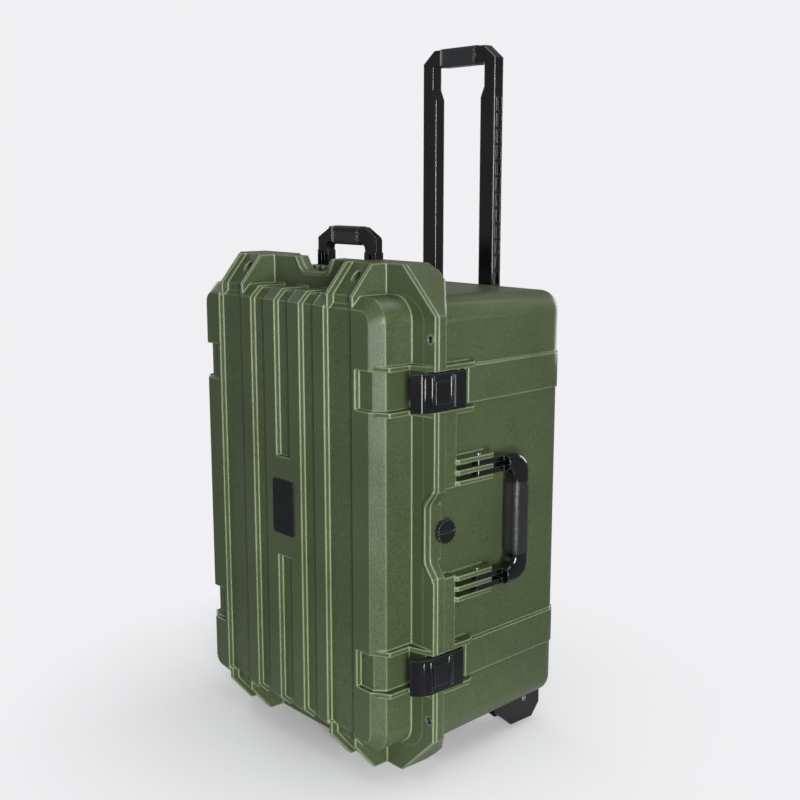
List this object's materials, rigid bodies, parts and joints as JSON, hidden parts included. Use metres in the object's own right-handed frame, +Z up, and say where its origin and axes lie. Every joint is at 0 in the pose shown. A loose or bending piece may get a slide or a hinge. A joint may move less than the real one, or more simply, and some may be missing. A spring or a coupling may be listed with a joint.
{
  "type": "rolling hard case",
  "caption": "Upright moulded hard case with ribbed hinged lid, swing latches, folding handles, telescopic trolley handle and rear wheels.",
  "frame": {"origin": "on the ground under the middle of the whole box, case standing on end", "axes": "+X towards the latches and side handle, -Y out of the lid, +Y towards the trolley and wheels, +Z up"},
  "size_m": [0.4728, 0.3262, 0.903],
  "materials": {
    "shell": "fine moulded grain, olive green",
    "black_plastic": "satin black moulding",
    "soft_grip": "overmoulded soft grip",
    "steel": "turned stainless",
    "gasket": "smooth",
    "tyre": "matt",
    "label": "satin, bare"
  },
  "bodies": {
    "base": {"base_shell": "shell", "hinge_pins": "steel", "latch_pins": "steel", "side_handle_pins": "steel", "top_handle_pins": "steel", "valve_body": "black_plastic", "valve_cap": "black_plastic", "trolley_housing": "black_plastic", "housing_screws": "steel", "wheel_brackets": "black_plastic", "wheel_axles": "steel", "base_eyelets": "steel"},
    "lid": {"lid_shell": "shell", "lid_gasket": "gasket", "label_plate": "label", "lid_eyelets": "steel"},
    "upper_latch": {"upper_latch_body": "black_plastic", "upper_latch_pad": "black_plastic"},
    "lower_latch": {"lower_latch_body": "black_plastic", "lower_latch_pad": "black_plastic"},
    "side_handle": {"side_handle_frame": "black_plastic", "side_handle_grip": "soft_grip"},
    "top_handle": {"top_handle_frame": "black_plastic", "top_handle_grip": "soft_grip"},
    "trolley": {"trolley_frame": "black_plastic", "trolley_grip": "soft_grip"},
    "left_wheel": {"left_wheel_hub": "black_plastic", "left_wheel_tyre": "tyre"},
    "right_wheel": {"right_wheel_hub": "black_plastic", "right_wheel_tyre": "tyre"}
  },
  "joints": [
    {"name": "lid_hinge", "type": "hinge", "parent": "base", "child": "lid", "pos_m": [-0.2305, -0.1015, 0.315], "axis": [0, 0, -1], "range_deg": [0, 110]},
    {"name": "upper_latch_hinge", "type": "hinge", "parent": "base", "child": "upper_latch", "pos_m": [0.215, -0.0635, 0.4865], "axis": [0, 0, 1], "range_deg": [0, 100]},
    {"name": "lower_latch_hinge", "type": "hinge", "parent": "base", "child": "lower_latch", "pos_m": [0.215, -0.0635, 0.1435], "axis": [0, 0, 1], "range_deg": [0, 100]},
    {"name": "side_handle_hinge", "type": "hinge", "parent": "base", "child": "side_handle", "pos_m": [0.218, -0.0315, 0.315], "axis": [0, 0, -1], "range_deg": [0, 95]},
    {"name": "top_handle_hinge", "type": "hinge", "parent": "base", "child": "top_handle", "pos_m": [0, -0.0505, 0.609], "axis": [-1, 0, 0], "range_deg": [0, 90]},
    {"name": "trolley_slide", "type": "slide", "parent": "base", "child": "trolley", "axis": [0, 0, -1], "range_m": [0, 0.3]},
    {"name": "left_wheel_spin", "type": "hinge", "parent": "base", "child": "left_wheel", "pos_m": [-0.161, 0.1015, 0.036], "axis": [1, 0, 0], "continuous": true},
    {"name": "right_wheel_spin", "type": "hinge", "parent": "base", "child": "right_wheel", "pos_m": [0.161, 0.1015, 0.036], "axis": [1, 0, 0], "continuous": true}
  ]
}
